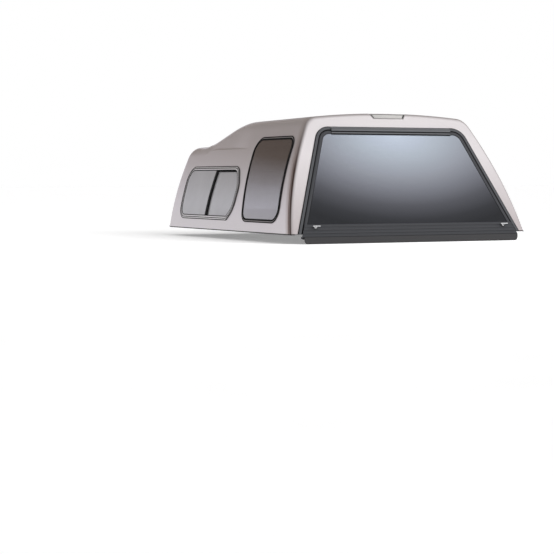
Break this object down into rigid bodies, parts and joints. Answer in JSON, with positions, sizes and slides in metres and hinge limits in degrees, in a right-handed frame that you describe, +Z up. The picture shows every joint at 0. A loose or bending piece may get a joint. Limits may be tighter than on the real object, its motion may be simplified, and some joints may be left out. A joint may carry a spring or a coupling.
{
  "type": "pickup truck canopy",
  "caption": "Fibreglass pickup canopy with raised rear half, side and front windows, lift-up framed rear glass door and T-handle latches.",
  "frame": {"origin": "centre of the bounding box on the plane of its lowest point, the bottom edge of the tailgate skirt", "axes": "+Z up, +Y forward towards the cab, +X to the right; the rear door faces -Y; X = 0 is the plane of symmetry"},
  "size_m": [1.744, 2.0766, 0.8401],
  "materials": {
    "metallic_paint": "moulded glass-fibre laminate in pale pewter metallic paint",
    "anodised": "satin anodised aluminium extrusion",
    "black_coat": "aluminium extrusion in black powder coat",
    "dark_glass": "dark tinted toughened glass",
    "grey_glass": "grey tinted toughened glass",
    "rubber": "black rubber bulb seal",
    "foam_seal": "black closed-cell foam tape",
    "black_plastic": "satin black moulded plastic",
    "chrome": "bright chrome plate",
    "zinc": "zinc plated steel",
    "pale_lens": "pale moulded lens, unlit"
  },
  "bodies": {
    "root": {"shell": "metallic_paint", "base_seal_left": "foam_seal", "base_seal_right": "foam_seal", "base_seal_front": "foam_seal", "front_window_frame": "black_coat", "front_window_clamp": "black_coat", "front_window_glass": "grey_glass", "lamp_housing": "black_coat", "lamp_lens": "pale_lens", "rear_frame": "black_coat", "rear_seal": "rubber", "hinge_rail": "black_coat", "slider_frame_left": "anodised", "slider_clamp_left": "anodised", "slider_fixed_pane_left": "grey_glass", "slider_moving_pane_left": "grey_glass", "slider_mullion_left": "black_coat", "tall_window_frame_left": "black_coat", "tall_window_clamp_left": "black_coat", "tall_window_glass_left": "grey_glass", "slider_frame_right": "anodised", "slider_clamp_right": "anodised", "slider_fixed_pane_right": "grey_glass", "slider_moving_pane_right": "grey_glass", "slider_mullion_right": "black_coat", "tall_window_frame_right": "black_coat", "tall_window_clamp_right": "black_coat", "tall_window_glass_right": "grey_glass"},
    "door": {"door_frame": "black_coat", "door_glass": "dark_glass", "bottom_rail": "black_coat", "tailgate_skirt": "black_plastic", "hinge_leaf": "black_coat", "handle_rosette_left": "black_plastic", "handle_rosette_right": "black_plastic", "latch_bar_left": "zinc", "latch_bar_right": "zinc"},
    "handle_left": {"handle_left": "chrome", "latch_cam_left": "zinc"},
    "handle_right": {"handle_right": "chrome", "latch_cam_right": "zinc"}
  },
  "joints": [
    {"name": "door_hinge", "type": "hinge", "parent": "root", "child": "door", "pos_m": [0, -0.73628, 0.73183], "axis": [-1, 0, 0], "range_deg": [0, 80]},
    {"name": "handle_left_turn", "type": "hinge", "parent": "door", "child": "handle_left", "pos_m": [-0.7009, -0.98745, 0.09972], "axis": [0, -0.922, 0.3872], "range_deg": [0, 90]},
    {"name": "handle_right_turn", "type": "hinge", "parent": "door", "child": "handle_right", "pos_m": [0.7009, -0.98745, 0.09972], "axis": [0, 0.922, -0.3872], "range_deg": [0, 90]}
  ]
}
